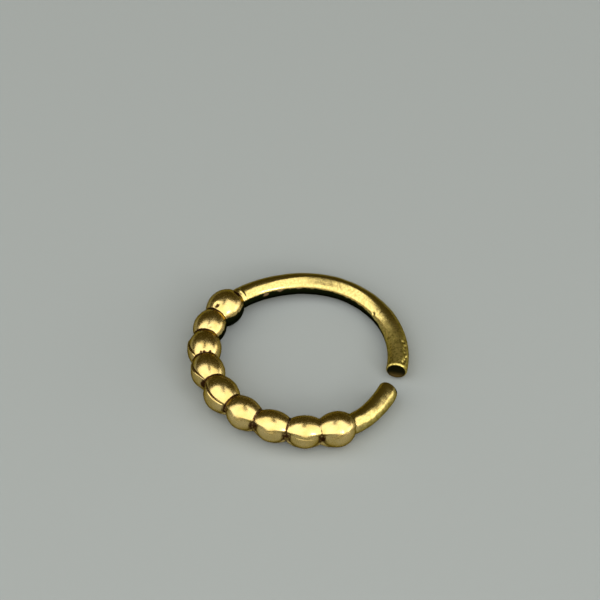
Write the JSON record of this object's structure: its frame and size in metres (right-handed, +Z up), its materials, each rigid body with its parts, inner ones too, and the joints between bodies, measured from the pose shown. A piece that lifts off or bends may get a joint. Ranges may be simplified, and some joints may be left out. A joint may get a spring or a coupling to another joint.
{
  "type": "beaded ring",
  "caption": "Small open brass hoop for a pierced nose or ear, with a row of fused round beads along one side and plain round wire arms.",
  "frame": {"origin": "on the surface that the hoop lies on, below the middle of its outline", "axes": "+Z up, away from the surface. The split is towards +X, the beads are towards -X and -Y"},
  "size_m": [0.0104, 0.0104, 0.0019],
  "materials": {
    "brass": "satin, hand polished, dark patina in the grooves"
  },
  "bodies": {
    "root": {"beaded_hoop": "brass"}
  },
  "joints": []
}
